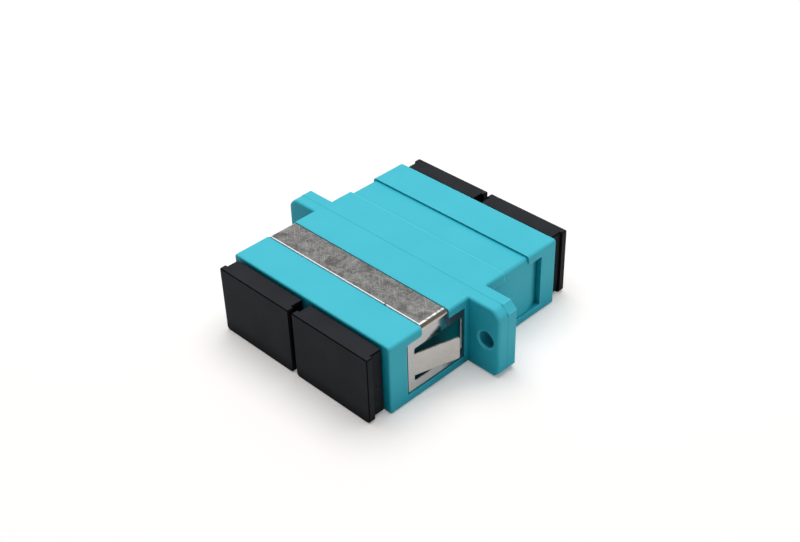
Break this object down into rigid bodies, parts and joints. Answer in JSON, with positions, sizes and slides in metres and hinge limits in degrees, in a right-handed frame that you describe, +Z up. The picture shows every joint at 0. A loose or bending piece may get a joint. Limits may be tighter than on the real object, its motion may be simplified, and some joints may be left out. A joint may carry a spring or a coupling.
{
  "type": "duplex sc fibre adapter",
  "caption": "Flanged duplex adapter that joins SC fibre-optic plugs through a panel, with a sprung sheet-metal panel clip and push-in dust caps.",
  "frame": {"origin": "middle of the footprint on the underside, below the seam of the two halves", "axes": "+X along the flange from the left channel to the right one, +Y from the front (clip) end to the rear end along the plugs, +Z up through the clip's strip"},
  "size_m": [0.0352, 0.0336, 0.0095],
  "materials": {
    "aqua_plastic": "fine satin moulding",
    "black_plastic": "soft matt",
    "spring_steel": "tumbled sheet, bright cut edges",
    "latch_plastic": "plain moulding",
    "sleeve_ceramic": "ground"
  },
  "bodies": {
    "adapter": {"front_housing": "aqua_plastic", "rear_housing": "aqua_plastic", "panel_clip": "spring_steel", "front_left_latch": "latch_plastic", "front_right_latch": "latch_plastic", "rear_left_latch": "latch_plastic", "rear_right_latch": "latch_plastic", "left_sleeve": "sleeve_ceramic", "right_sleeve": "sleeve_ceramic"},
    "front_left_cap": {"front_left_cap": "black_plastic"},
    "front_right_cap": {"front_right_cap": "black_plastic"},
    "rear_left_cap": {"rear_left_cap": "black_plastic"},
    "rear_right_cap": {"rear_right_cap": "black_plastic"}
  },
  "joints": [
    {"name": "front_left_cap_slide", "type": "slide", "parent": "adapter", "child": "front_left_cap", "axis": [0, -1, 0], "range_m": [0, 0.06]},
    {"name": "front_right_cap_slide", "type": "slide", "parent": "adapter", "child": "front_right_cap", "axis": [0, -1, 0], "range_m": [0, 0.06]},
    {"name": "rear_left_cap_slide", "type": "slide", "parent": "adapter", "child": "rear_left_cap", "axis": [0, 1, 0], "range_m": [0, 0.06]},
    {"name": "rear_right_cap_slide", "type": "slide", "parent": "adapter", "child": "rear_right_cap", "axis": [0, 1, 0], "range_m": [0, 0.06]}
  ]
}
